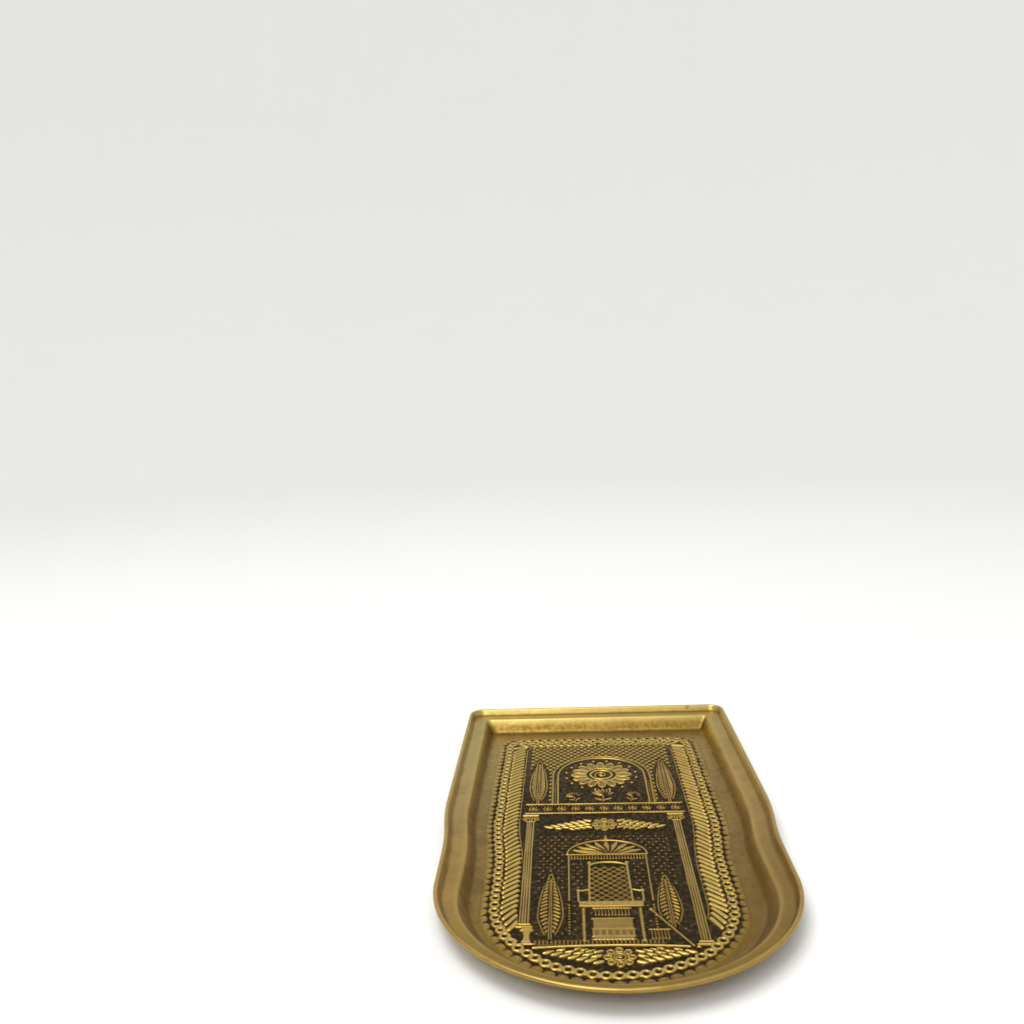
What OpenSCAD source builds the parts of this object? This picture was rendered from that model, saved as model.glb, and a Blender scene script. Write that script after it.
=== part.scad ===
// Embossed brass samovar tray: one pressed pan with a curled lip, and the stiffening wire inside the lip.
// The straight back edge is at +Y, the round front at -Y. Z is up and the underside of the floor is at z = 0.

/* [Plan] */
// Length from the straight back edge to the tip of the round front
tray_l = 444; // [435:1:470]
// Width across the two rear corners
rear_w = 240; // [238:1:244]
// Diameter of the round front
front_d = 233; // [225:1:236]
// Radius of the two rear corners, seen from above
corner_r = 13; // [8:0.5:16]
// Length of the straight part of each rear side
side_l = 190; // [170:1:195]
// How far the rear sides lean outwards on their way to the front, in degrees
side_lean = 0.45; // [0:0.05:0.8]
// Radius of the two arcs that draw each side in to the round front
blend_r = 330; // [260:5:340]

/* [Rim and well] */
// Thickness of the brass sheet
sheet_t = 0.8; // [0.6:0.1:1]
// Diameter of the wire inside the curled lip
wire_d = 1.4; // [1.2:0.1:1.6]
// Height of the lip above the ledge
lip_h = 5; // [4.5:0.1:6]
// Depth of the well below the ledge
well_d = 11.4; // [9:0.1:13]
// Distance from the outer edge to the crease at the foot of the lip
crease_in = 4.8; // [4.3:0.1:5.2]
// Distance from the outer edge to the inner edge of the ledge
ledge_in = 15.8; // [14:0.1:16.5]
// Distance from the outer edge to the foot of the well's wall
foot_in = 22.8; // [22.5:0.1:25]
// Radius of the well's two rear corners, seen from above
well_corner_r = 1.5; // [1:0.1:4]

/* [Hidden] */

wire_r = wire_d / 2;
wire_fit = 0.05;             // the wire lies this far clear of the curl
wire_gap = 0.6;              // gap between the wire's two ends, at the middle of the back
wire_sides = 10;
curl_r = wire_r + sheet_t;   // outer radius of the curled lip
curl_end = 285;              // angle at which the curl stops, under the lip
curl_steps = 8;              // flats round the curl
crease_r = 1.2;              // bend radii, at the middle of the sheet
ledge_r = 1.6;
foot_r = 2.4;
bend_steps = 3;              // flats in each bend
flat_in = foot_in + 3;       // the swept section ends this far in, on the floor

// Heights of the middle of the sheet, and of the top of the lip
floor_z = sheet_t / 2;
ledge_z = floor_z + well_d;
lip_z = ledge_z + sheet_t / 2 + lip_h;

// ---- The section of the sheet: points are [distance in from the outer edge, height] ----

function unit(v) = v / norm(v);
function left(v) = [-v[1], v[0]];
function ray(a) = [cos(a), sin(a)];
function turned(v, a) = v[0] * ray(a) + v[1] * ray(a + 90);
function turn_between(a, b) = atan2(a[0] * b[1] - a[1] * b[0], a * b);
function reversed(v) = [for (i = [len(v) - 1:-1:0]) v[i]];

// Points on an arc of radius r about c, from angle a to angle b
function arc(c, r, a, b, steps) = [for (k = [0:steps]) c + r * ray(a + (b - a) * k / steps)];

// Where a line from p touches a circle of radius r about c, on the inner and upper side
function touch_angle(p, c, r) = atan2(p[1] - c[1], p[0] - c[0]) + acos(r / norm(p - c));

// One side of a bent strip: the corner points v rounded by the radii r, moved sideways by d
function strip_side(v, r, d) = let(last = len(v) - 1) concat(
    [for (i = [1:last - 1])
        let(a = unit(v[i] - v[i - 1]), b = unit(v[i + 1] - v[i]), turn = turn_between(a, b))
        let(s = sign(turn), n = s * left(a), start = v[i] - a * r[i] * tan(abs(turn) / 2))
        for (k = [0:bend_steps])
            start + n * r[i] + turned(-n * (r[i] - s * d), turn * k / bend_steps)],
    [v[last] + d * left(unit(v[last] - v[last - 1]))]);

curl_at = [curl_r, lip_z - curl_r];
crease = [crease_in, ledge_z];
riser_a = touch_angle(crease, curl_at, wire_r + sheet_t / 2);
riser_top = curl_at + (wire_r + sheet_t / 2) * ray(riser_a);
bends = [riser_top, crease, [ledge_in, ledge_z], [foot_in, floor_z], [flat_in, floor_z]];
bend_radii = [0, crease_r, ledge_r, foot_r, 0];

// From the floor's top, up the wall, over the ledge, round the curl, and back along the underside
sheet_section = concat(
    reversed(strip_side(bends, bend_radii, sheet_t / 2)),
    arc(curl_at, curl_r, riser_a, curl_end, curl_steps),
    arc(curl_at, wire_r, curl_end, riser_a, curl_steps),
    strip_side(bends, bend_radii, -sheet_t / 2));

wire_section = [for (k = [0:wire_sides - 1])
    curl_at + (wire_r - wire_fit) * ray(360 * k / wire_sides)];

// ---- The outline in plan: back edge, corner, side, two blending arcs, short straight, round front ----

front_r = front_d / 2;
back_y = tray_l / 2;
front_y = front_r - back_y;                     // centre of the round front
corner_x = rear_w / 2 - corner_r;
corner_end = [-corner_x, back_y - corner_r] + corner_r * ray(180 - side_lean);
side_end = corner_end - side_l * [sin(side_lean), cos(side_lean)];
blend_a = acos((1 + cos(side_lean) + (side_end[0] + front_r) / blend_r) / 2);
shoulder_at = side_end - blend_r * ray(180 - side_lean);
waist_at = [-front_r - blend_r, side_end[1] - blend_r * (sin(side_lean) + 2 * sin(blend_a))];

// The rear corner's arc at a distance u in from the edge: its radius, and its centre
function corner_radius(u) = max(corner_r - u, well_corner_r);
function corner_centre(u) = let(d = u + corner_radius(u), y = back_y - d)
    [corner_end[0] + (d + (y - corner_end[1]) * sin(side_lean)) / cos(side_lean), y];

// The left half of the outline at a distance u in from the edge, from the middle of the back to the front tip
function half_outline(u) = concat(
    [[-wire_gap / 2, back_y - u]],
    arc(corner_centre(u), corner_radius(u), 90, 180 - side_lean, 6),
    arc(shoulder_at, blend_r - u, 180 - side_lean, 180 + blend_a, 5),
    arc(waist_at, blend_r + u, blend_a * 4 / 5, 0, 4),
    arc([0, front_y], front_r - u, 180, 270, 20));

function outline(u) = let(half = half_outline(u)) concat(
    half, [for (i = [len(half) - 2:-1:0]) [-half[i][0], half[i][1]]]);

around = len(outline(0));
half_way = (around - 1) / 2;

// A section carried round the outline: all points, section point by section point
function swept(section) = [for (s = section) for (p = outline(s[0])) [p[0], p[1], s[1]]];

// The four-sided faces between neighbouring section points i and j, at places k and m of the outline
function band(i, j, k, m) = [i * around + k, j * around + k, j * around + m, i * around + m];

// A flat face across the whole outline, cut into strips from side to side
function cap_strips(i) = let(a = i * around, b = a + around - 1) concat(
    [[a + 2, b - 2, b - 1, b, a, a + 1]],
    [for (k = [2:half_way - 2]) [a + k, a + k + 1, b - k - 1, b - k]],
    [[a + half_way - 1, a + half_way, a + half_way + 1]]);

// The same faces seen from the other side, each still starting at the same corner
function flipped(faces) = [for (f = faces) [for (i = [0:len(f) - 1]) f[(len(f) - i) % len(f)]]];

// ---- Sub-parts ----

module pan() {
    last = len(sheet_section) - 1;
    faces = concat(
        [for (i = [0:last - 1]) for (k = [0:around - 1]) band(i, i + 1, k, (k + 1) % around)],
        cap_strips(0), flipped(cap_strips(last)));
    color([0.71, 0.57, 0.32]) polyhedron(swept(sheet_section), faces, convexity = 6);
}

module rim_wire() {
    start = [for (i = [0:wire_sides - 1]) i * around];
    faces = concat(
        [for (i = [0:wire_sides - 1]) for (k = [0:around - 2]) band((i + 1) % wire_sides, i, k, k + 1)],
        [start], [reversed([for (s = start) s + around - 1])]);
    color([0.80, 0.62, 0.30]) polyhedron(swept(wire_section), faces, convexity = 6);
}

pan();
rim_wire();
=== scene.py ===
# Looks of the embossed brass samovar tray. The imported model's plain pan is replaced by the same sheet with
# its embossed floor drawn in full, and the wire inside the lip keeps its CAD shape.
# Lengths are in millimetres until a mesh is made. The straight back edge is at +Y, the round front at -Y, and
# the underside of the floor at z = 0.
import itertools
import math

import bpy
import numpy as np
from mathutils import Matrix, Vector
from mathutils.geometry import delaunay_2d_cdt


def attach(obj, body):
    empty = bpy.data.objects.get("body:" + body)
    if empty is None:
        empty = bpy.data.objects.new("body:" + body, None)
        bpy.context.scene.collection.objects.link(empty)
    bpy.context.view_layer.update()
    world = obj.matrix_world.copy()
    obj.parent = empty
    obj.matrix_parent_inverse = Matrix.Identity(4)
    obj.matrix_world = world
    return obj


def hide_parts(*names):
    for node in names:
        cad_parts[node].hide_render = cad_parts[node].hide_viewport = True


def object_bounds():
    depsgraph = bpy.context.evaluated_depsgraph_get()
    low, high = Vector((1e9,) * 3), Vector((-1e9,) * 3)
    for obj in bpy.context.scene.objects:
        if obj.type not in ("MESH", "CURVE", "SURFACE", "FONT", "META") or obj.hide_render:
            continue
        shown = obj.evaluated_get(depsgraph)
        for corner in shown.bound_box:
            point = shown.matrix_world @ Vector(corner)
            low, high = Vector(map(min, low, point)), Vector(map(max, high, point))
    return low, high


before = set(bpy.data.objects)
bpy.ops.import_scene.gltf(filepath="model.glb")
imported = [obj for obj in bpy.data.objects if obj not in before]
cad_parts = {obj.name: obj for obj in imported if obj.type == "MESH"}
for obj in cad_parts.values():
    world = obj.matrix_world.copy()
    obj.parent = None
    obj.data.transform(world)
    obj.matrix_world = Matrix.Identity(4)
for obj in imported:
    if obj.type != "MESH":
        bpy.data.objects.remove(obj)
CAD_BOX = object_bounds()
MM = 0.001

# ---- Plan of the tray: the CAD's, but for the well's softer corners ----
TRAY_L = (CAD_BOX[1].y - CAD_BOX[0].y) / MM
REAR_W = 240.0
FRONT_R = 116.5
CORNER_R = 13.0
WELL_CORNER_R = 3.5
SIDE_L = 190.0
SIDE_LEAN = math.radians(0.45)
BLEND_R = 330.0

# ---- Section of the sheet: distances in from the outer edge, and heights ----
SHEET_T = 0.8
WIRE_R = 0.7
CURL_R = WIRE_R + SHEET_T
CURL_END = math.radians(285)
LIP_TOP = CAD_BOX[1].z / MM
WELL_D = 11.4
CREASE_IN = 4.8
LEDGE_IN = 15.8
FOOT_IN = 22.8
FLAT_IN = 25.8
BEND_R = (2.0, 2.8, 5.0)     # at the crease, the ledge's inner edge and the wall's foot
FRONT_NARROWER = 2.6         # how much narrower the ledge is round the front
SIDEWAYS_STRAY = 0.30        # how far the ledge and wall stray, as hand-worked sheet does
LEDGE_STRAY = 0.10           # the same for the ledge's height
FLOOR_Z = SHEET_T / 2
LEDGE_Z = FLOOR_Z + WELL_D

# ---- Resolution ----
RIM_STEP = 1.2
GRID_STEP = 0.4

# ---- The embossed floor: its levels above the table, its thicknesses, and the painted shade on its smooth part ----
GROUND_Z = 0.5
SMOOTH_Z = SHEET_T
RELIEF_SHEET_T = 0.6
# painted shade: how much the smooth part of the floor and the lower walls are darkened
SMOOTH_PAINTED_SHADE = 0.26           # how far the smooth part of the floor has darkened
LEAST_SHEET_T = 0.35

# ---- Where the embossing lies: its border rows, as distances in from the tray's edge ----
RELIEF_SHIFT = (-2.2, -3.5)
RELIEF_TURN = math.radians(0.4)      # clockwise from above, about a place near the front
RELIEF_PIVOT = (0.0, -160.0)
BORDER_CORNER_R = 18.0
BACK_STRIP = 5.5             # the smooth strip is this much wider along the back
LUNETTES_IN = 31.9
LUNETTE_R = 3.75
RINGS_IN = 40.6
RING_PITCH = 7.5
RING_R = 2.9
RING_W = 2.9
RING_H = 1.5
BARS_OUT = 45.6
BARS_IN = 54.2
BAR_PITCH = 6.2
BAR_W = 4.7
BAR_H = 1.8
FRAME_IN = 56.6
BAR_END_Y = -130.0
HAND_SLIP = 0.25             # how far the hand-chased pieces of the border stray
GROUND_LINE_Y = -152.6


# ---- Plan geometry ----

def arc(centre, radius, start, end, steps):
    angles = np.linspace(start, end, steps + 1)
    return np.array(centre) + radius * np.stack([np.cos(angles), np.sin(angles)], axis=1)


def circle(centre, radius, steps):
    return arc(centre, radius, 0, 2 * math.pi, steps)


def evenly(start, end, count):
    """Points that divide a straight line into equal parts, without its two ends."""
    return np.array(start) + np.outer(np.arange(1, count) / count, np.subtract(end, start))


def rim_count(length):
    """How many steps of the rim a stretch of the outline takes."""
    return round(length / RIM_STEP)


def run_lengths(points):
    """The length along a line up to each of its points."""
    return np.concatenate([[0], np.cumsum(np.linalg.norm(np.diff(points, axis=0), axis=1))])


def points_along(line, lengths):
    """The points of a line at some lengths along it."""
    return np.stack([np.interp(lengths, run_lengths(line), line[:, n]) for n in (0, 1)], axis=1)


def rounded_corner(a, b, radius):
    """The lesser of two distances, and less still where they are nearly equal, which rounds a corner."""
    apart = np.abs(a - b)
    room = np.sqrt(np.clip(2 * radius ** 2 - apart ** 2, 0, None))
    return np.where(apart < radius, (a + b + room) / 2 - radius, np.minimum(a, b))


class Plan:
    """The tray's outline: back edge, rear corners, sides, two blending arcs, short straights, round front."""

    def __init__(self):
        self.back_y = TRAY_L / 2
        self.front_y = FRONT_R - self.back_y
        lean = np.array([math.sin(SIDE_LEAN), math.cos(SIDE_LEAN)])
        corner = np.array([CORNER_R - REAR_W / 2, self.back_y - CORNER_R])
        self.side_out = np.array([-math.cos(SIDE_LEAN), math.sin(SIDE_LEAN)])
        self.side_start = corner + CORNER_R * self.side_out
        self.side_end = self.side_start - SIDE_L * lean
        reach = 1 + lean[1] + (self.side_end[0] + FRONT_R) / BLEND_R
        self.blend = math.acos(reach / 2)
        self.shoulder = self.side_end - BLEND_R * self.side_out
        self.waist = np.array([-FRONT_R - BLEND_R,
                               self.side_end[1] - BLEND_R * (lean[0] + 2 * math.sin(self.blend))])

    def half(self, inset, back_strip, least_r):
        """The left half of the outline at a distance in from the edge, from the back to the front tip."""
        radius = max(CORNER_R - inset, least_r)
        away = inset + radius
        y = self.back_y - away - back_strip
        x = self.side_start[0] + (away + (y - self.side_start[1]) * math.sin(SIDE_LEAN)) / math.cos(SIDE_LEAN)
        turn = math.pi - SIDE_LEAN
        corner = arc([x, y], radius, math.pi / 2, turn, rim_count(CORNER_R * math.pi / 2))
        blend_count = rim_count(BLEND_R * (self.blend + SIDE_LEAN))
        shoulder = arc(self.shoulder, BLEND_R - inset, turn, math.pi + self.blend, blend_count)
        waist = arc(self.waist, BLEND_R + inset, self.blend, 0, blend_count)
        front_count = rim_count(FRONT_R * math.pi / 2)
        front = arc([0, self.front_y], FRONT_R - inset, math.pi, 1.5 * math.pi, front_count)
        middle = np.array([0.0, self.back_y - inset - back_strip])
        back = evenly(middle, corner[0], rim_count(REAR_W / 2 - CORNER_R))
        side = evenly(corner[-1], shoulder[0], rim_count(SIDE_L))
        straight = evenly(waist[-1], front[0], rim_count(self.waist[1] - self.front_y))
        return np.vstack([[middle], back, corner, side, shoulder, waist[1:], straight, front])

    def ring(self, inset, back_strip=0.0, least_r=WELL_CORNER_R):
        """The whole outline, anticlockwise from the middle of the back, with as many points at any inset."""
        half = self.half(inset, back_strip, least_r)
        return np.vstack([half, half[-2:0:-1] * [-1, 1]])

    def side_inset(self, x, y):
        """How far in from the sides and the round front a point is."""
        x = -np.abs(x)
        waist_x, waist_y = x - self.waist[0], y - self.waist[1]
        shoulder_x, shoulder_y = self.shoulder[0] - x, self.shoulder[1] - y
        side = (self.side_end[0] - x) * self.side_out[0] + (self.side_end[1] - y) * self.side_out[1]
        return np.select(
            [y <= self.front_y, y <= self.waist[1], np.arctan2(waist_y, waist_x) <= self.blend,
             np.arctan2(shoulder_y, shoulder_x) >= -SIDE_LEAN],
            [FRONT_R - np.hypot(x, y - self.front_y), x + FRONT_R, np.hypot(waist_x, waist_y) - BLEND_R,
             BLEND_R - np.hypot(shoulder_x, shoulder_y)],
            side)

    def inset(self, x, y):
        """How far in from the edge a point is."""
        return rounded_corner(self.side_inset(x, y), self.back_y - y, WELL_CORNER_R)


PLAN = Plan()


def smoothstep(low, high, value):
    t = np.clip((value - low) / (high - low), 0, 1)
    return t * t * (3 - 2 * t)


# ---- Section of the rim: points are (distance in from the edge, height) ----

def bent_path(corners, radii, bend_steps, straight_step):
    """Points and left-hand normals along a path whose corners are rounded."""
    def straight(start, end):
        return evenly(start, end, max(1, round(math.dist(start, end) / straight_step)))

    corners = [np.array(c, float) for c in corners]
    points, normals = [], []
    for before, at, after, radius in zip(corners, corners[1:], corners[2:], radii):
        a = (at - before) / np.linalg.norm(at - before)
        b = (after - at) / np.linalg.norm(after - at)
        turn = math.atan2(a[0] * b[1] - a[1] * b[0], a @ b)
        left = np.array([-a[1], a[0]])
        start = at - a * radius * math.tan(abs(turn) / 2)
        line = straight(points[-1] if points else before, start)
        points += [*line]
        normals += [left] * len(line)
        to_centre = math.copysign(radius, turn)
        centre = start + to_centre * left
        for k in range(bend_steps + 1):
            normal = np.array(Matrix.Rotation(turn * k / bend_steps, 2) @ Vector(left))
            points.append(centre - to_centre * normal)
            normals.append(normal)
    line = [*straight(points[-1], corners[-1]), corners[-1]]
    return np.array(points + line), np.array(normals + [normals[-1]] * len(line))


def rim_section():
    """The top face's points from the floor out and round the curl, and the underside's back to the floor."""
    curl = np.array([CURL_R, LIP_TOP - CURL_R])
    crease = np.array([CREASE_IN, LEDGE_Z])
    middle_r = WIRE_R + SHEET_T / 2
    way = crease - curl
    riser = math.atan2(way[1], way[0]) + math.acos(middle_r / np.linalg.norm(way))
    riser_top = curl + middle_r * np.array([math.cos(riser), math.sin(riser)])
    corners = [riser_top, crease, (LEDGE_IN, LEDGE_Z), (FOOT_IN, FLOOR_Z), (FLAT_IN, FLOOR_Z)]
    points, normals = bent_path(corners, BEND_R, 5, 1.2)
    top = (points + normals * SHEET_T / 2)[::-1]
    outer = arc(curl, CURL_R, riser, CURL_END, 18)
    points, normals = bent_path(corners, BEND_R, 3, 2.5)
    under = points - normals * SHEET_T / 2
    inner = arc(curl, WIRE_R, CURL_END, riser, 10)
    return np.vstack([top, outer]), np.vstack([inner, under])


# ---- Embossing: heights above the dark ground, drawn on a regular grid ----

def blur(values, times):
    """A soft blur: each pass averages a point with its neighbours."""
    for _ in range(times):
        padded = np.pad(values, 1, mode="edge")
        across = (padded[:-2, 1:-1] + 2 * padded[1:-1, 1:-1] + padded[2:, 1:-1]) / 4
        padded = np.pad(across, 1, mode="edge")
        values = (padded[1:-1, :-2] + 2 * padded[1:-1, 1:-1] + padded[1:-1, 2:]) / 4
    return values


def highest_near(values, reach):
    """The highest value within a distance of each grid node, along both axes."""
    steps = round(reach / GRID_STEP)
    for axis in (0, 1):
        values = np.max([np.roll(values, k, axis) for k in range(-steps, steps + 1)], axis=0)
    return values


def placed(points, at, turn=0.0):
    """Points of a motif, turned by an angle in degrees and moved."""
    c, s = math.cos(math.radians(turn)), math.sin(math.radians(turn))
    return np.array(points, float) @ np.array([[c, s], [-s, c]]) + np.array(at)


def box(x0, y0, x1, y1):
    return [(x0, y0), (x1, y0), (x1, y1), (x0, y1)]


def level(x0, x1, y):
    return [(x0, y), (x1, y)]


def spiral(start_r, end_r, turn, steps):
    return arc((0, 0), 1, 0, turn, steps) * np.linspace(start_r, end_r, steps + 1)[:, None]


def middles(x0, x1, count):
    """The middles of the equal parts of a stretch."""
    return x0 + (x1 - x0) * (np.arange(count) + 0.5) / count


def crown(way_out):
    """The height across a rounded top, as a share. way_out is 0 in the middle and 1 at the edge."""
    return np.clip(1 - way_out ** 2, 0, 1) ** 0.8


class Relief:
    """The embossing's heights above the dark ground, on a grid, with the tools that raise and lower them."""

    def __init__(self, xs, ys):
        self.xs, self.ys = xs, ys
        self.h = np.zeros((len(xs), len(ys)))

    def window(self, points, pad):
        """The part of the grid round some points: its slices, and the places of its nodes."""
        low, high = np.min(points, axis=0) - pad, np.max(points, axis=0) + pad
        i = slice(*np.searchsorted(self.xs, [low[0], high[0]]))
        j = slice(*np.searchsorted(self.ys, [low[1], high[1]]))
        return (i, j), self.xs[i][:, None], self.ys[j][None, :]

    @staticmethod
    def distance(points, x, y):
        """Distance from each node to a line through points."""
        least = np.full(np.broadcast_shapes(x.shape, y.shape), 1e9)
        for a, b in zip(points[:-1], points[1:]):
            d = b - a
            t = np.clip(((x - a[0]) * d[0] + (y - a[1]) * d[1]) / max(d @ d, 1e-9), 0, 1)
            least = np.minimum(least, (x - a[0] - t * d[0]) ** 2 + (y - a[1] - t * d[1]) ** 2)
        return np.sqrt(least)

    @staticmethod
    def inside(points, x, y):
        """Whether each node is inside a closed shape."""
        result = np.zeros(np.broadcast_shapes(x.shape, y.shape), bool)
        for a, b in zip(points, np.roll(points, -1, axis=0)):
            if a[1] == b[1]:
                continue
            crosses = (a[1] > y) != (b[1] > y)
            result ^= crosses & (x < (b[0] - a[0]) * (y - a[1]) / (b[1] - a[1]) + a[0])
        return result

    def share_inside(self, points, edge, outer):
        """The part of the grid round a closed shape, and each node's share inside it, across a soft edge."""
        points = np.array(points, float)
        at, x, y = self.window(points, edge)
        away = self.distance(np.vstack([points, points[:1]]), x, y)
        return at, np.where(self.inside(points, x, y), smoothstep(outer, edge, away), 0)

    def stroke(self, points, width, height, gap=0.0):
        """A raised line with a rounded top, and a gap cleared on both sides of it."""
        points = np.array(points, float)
        at, x, y = self.window(points, width + gap)
        away = self.distance(points, x, y)
        kept = self.h[at] * smoothstep(0, 0.4, away - width / 2 - gap) if gap else self.h[at]
        self.h[at] = np.maximum(kept, height * crown(away / (width / 2)))

    def groove(self, points, width, depth):
        """A chased line."""
        points = np.array(points, float)
        at, x, y = self.window(points, width)
        d = self.distance(points, x, y) / (width / 2)
        self.h[at] = np.maximum(self.h[at] - depth * np.clip(1 - d * d, 0, 1), 0)

    def field(self, points, height, edge):
        """A flat raised shape with soft edges."""
        at, share = self.share_inside(points, edge, -edge / 2)
        self.h[at] = np.maximum(self.h[at], height * share)

    def clear(self, points, edge):
        """Takes a shape back down to the ground."""
        at, share = self.share_inside(points, edge, 0)
        self.h[at] *= 1 - share

    def dome(self, centre, radii, height, way=(1, 0), gap=0.0):
        """A raised oval along a way, sunk if the height is negative, and a gap cleared round it."""
        at, x, y = self.window([centre], max(radii) + gap)
        along = (x - centre[0]) * way[0] + (y - centre[1]) * way[1]
        across = (y - centre[1]) * way[0] - (x - centre[0]) * way[1]
        shape = crown(np.hypot(along / radii[0], across / radii[1]))
        if height < 0:
            self.h[at] = np.maximum(self.h[at] + height * shape, 0)
            return
        if gap:
            room = (along / (radii[0] + gap)) ** 2 + (across / (radii[1] + gap)) ** 2
            self.h[at] *= smoothstep(0.9, 1.2, room)
        self.h[at] = np.maximum(self.h[at], height * shape)

    def leaf(self, root, tip, width, height, vein=0.35, gap=0.5):
        """A pointed leaf or feather with a sunk middle line, and a gap cleared round it."""
        root, tip = np.array(root, float), np.array(tip, float)
        at, x, y = self.window([root, tip], width + gap)
        way = tip - root
        length = np.linalg.norm(way)
        way = way / length
        along = ((x - root[0]) * way[0] + (y - root[1]) * way[1]) / length
        across = np.abs((y - root[1]) * way[0] - (x - root[0]) * way[1])
        t = np.clip(along, 0, 1)
        half = width / 2 * 1.9 * np.sqrt(t) * (1 - t) ** 0.62
        beyond = np.maximum(across - half, np.maximum(-along, along - 1) * length)
        self.h[at] *= smoothstep(0, 0.4, beyond - gap)
        shape = crown(across / (half + 1e-6)) * ((along > 0) & (along < 1))
        mid = smoothstep(0.05, 0.3, along) * (1 - smoothstep(0.75, 0.95, along))
        sunk = vein * np.clip(1 - across / 0.5, 0, 1) * mid
        self.h[at] = np.maximum(self.h[at], height * shape * (1 - sunk))


def evenly_spaced(points, pitch, closed=True):
    """Places at an even pitch along a line, each with its direction and its left-hand normal."""
    if closed:
        points = np.vstack([points, points[:1]])
    length = run_lengths(points)[-1]
    count = round(length / pitch)
    for s in (np.arange(count) + 0.5) * length / count:
        p, a, b = points_along(points, [s, max(s - 0.5, 0), min(s + 0.5, length)])
        way = (b - a) / np.linalg.norm(b - a)
        yield p, way, np.array([-way[1], way[0]])


# ---- Motifs. The places are in the embossing's own frame, centred on the tray's long axis ----

HALF_CIRCLE = arc((0, 0), 1, 0, math.pi, 12)
LUNETTE_BOW = np.sign(HALF_CIRCLE) * np.abs(HALF_CIRCLE) ** 0.85      # a little fuller than half a circle


def lunette(r, foot, way, inward, wide):
    """A half-round tab, which reaches a little further outwards round the front."""
    deep = 1.6 + 1.9 * max(0.0, inward[1])
    bow = [foot + way * wide * across + inward * LUNETTE_R * along for across, along in LUNETTE_BOW]
    r.field([bow[0] - inward * deep, *bow, bow[-1] - inward * deep], 0.78, 0.9)
    r.dome(foot + inward * 1.2, (min(wide, 2.8), 2.3), 1.0, way)


def lunettes_and_rings(r):
    """The two outer rows: half-round tabs with the round side inwards, and a band of rings that touch."""
    line = PLAN.ring(RINGS_IN, back_strip=BACK_STRIP, least_r=10)
    places = list(evenly_spaced(line, RING_PITCH))
    feet = [p - inward * (RINGS_IN - LUNETTES_IN - 0.6) for p, _, inward in places]
    slips = np.random.default_rng(5).normal(0, HAND_SLIP, (len(places), 2, 2))
    for k, (p, way, inward) in enumerate(places):
        p = p + slips[k, 0]
        r.stroke(circle(p, RING_R, 16), RING_W, RING_H)
        r.dome(p + way * RING_PITCH / 2, (2.5, 3.4), RING_H - 0.1, way)
        # half of a tab's room less a small gap, and shared by more tabs where the room widens at a corner
        wide = math.dist(feet[k - 1], feet[(k + 1) % len(feet)]) / 4 * 0.97
        share = max(1, round(wide / (0.85 * LUNETTE_R)))
        for part in range(share):
            foot = feet[k] + slips[k, 1] + way * wide * ((2 * part + 1) / share - 1)
            lunette(r, foot, way, inward, wide / share)


def bars(r):
    """The inner row along the sides and back: slanting bars, thick and close together."""
    line = PLAN.ring((BARS_OUT + BARS_IN) / 2, back_strip=BACK_STRIP, least_r=7)
    reach = (BARS_IN - BARS_OUT) / 2
    rng = np.random.default_rng(6)
    for p, way, inward in evenly_spaced(line, BAR_PITCH):
        if p[1] < BAR_END_Y:
            continue
        lean = -way * math.copysign(reach, -p[0]) * 0.95
        ends = np.array([p - inward * reach - lean, p + inward * reach + lean])
        r.stroke(ends + rng.normal(0, HAND_SLIP, (2, 2)), BAR_W, BAR_H, 0.2)


def inner_frame(r):
    """A thin line round the picture, left open at the front."""
    line = PLAN.ring(FRAME_IN, back_strip=BACK_STRIP, least_r=5)
    line = np.roll(line, -np.argmin(line[:, 1]), axis=0)
    r.stroke(line[line[:, 1] > BAR_END_Y], 1.3, 1.0)


def ground_line(r):
    x = np.linspace(-50, 49, 30)
    y = GROUND_LINE_Y - 1.2 + 2.4 * (1 - (x / 50) ** 2)
    r.stroke(np.stack([x, y], axis=1), 2.2, 1.6, 1.0)


def rosette(r, centre, radius, petals, height):
    """A flower: petals with raised outlines round a boss with a small spiral."""
    boss = 0.36 * radius
    root = boss + 0.15 * radius
    spread = 0.37 * 2 * math.pi / petals
    side = [(root, spread * root), (0.78 * radius, spread * 0.78 * radius),
            (0.91 * radius, spread * 0.66 * radius), (0.98 * radius, spread * 0.35 * radius)]
    outline = [*side, (radius, 0), *[(x, -y) for x, y in reversed(side)]]
    for k in range(petals):
        petal = placed(outline, centre, 360 * k / petals)
        r.field(petal, height * 0.4, 0.5)
        r.stroke([*petal, petal[0]], max(0.075 * radius, 1.0), height)
    r.stroke(circle(centre, boss, 24), max(0.12 * radius, 1.2), height)
    r.stroke(centre + spiral(0, boss * 0.62, 3.2 * math.pi, 25), max(0.06 * radius, 1.0), height)


def wing(r, centre, side, up):
    """Rows of overlapping feathers from the flower out to a tip. up is 1 if the tip is above the flower."""
    rows = [((12.4, 4.8), (25.0, 7.4), 4, 3.4), ((13.2, 0.2), (35.0, 6.2), 5, 4.6),
            ((12.0, -5.6), (41.5, 4.6), 7, 4.8)]
    for near, far, count, wide in rows:
        for k in reversed(range(count)):
            x, y = np.array(near) + np.subtract(far, near) * k / (count - 1)
            root, tip = [(x - 3.6, y + 1.4), (x + 4.3, y - 1.2)] * np.array([side, up]) + centre
            r.leaf(root, tip, wide, 1.9, 0.0, 0.35)


def winged_flower(r, centre, radius, height, up=1):
    """A flower between two spread wings."""
    for side in (-1, 1):
        wing(r, centre, side, up)
    r.clear(circle(centre, radius + 0.9, 30), 0.3)
    rosette(r, centre, radius, 8, height)


def front_panel(r):
    """The segment in front of the ground line, with its winged flower."""
    winged_flower(r, (1.2, -163.6), 9.5, 1.8)
    ground_line(r)


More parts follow.
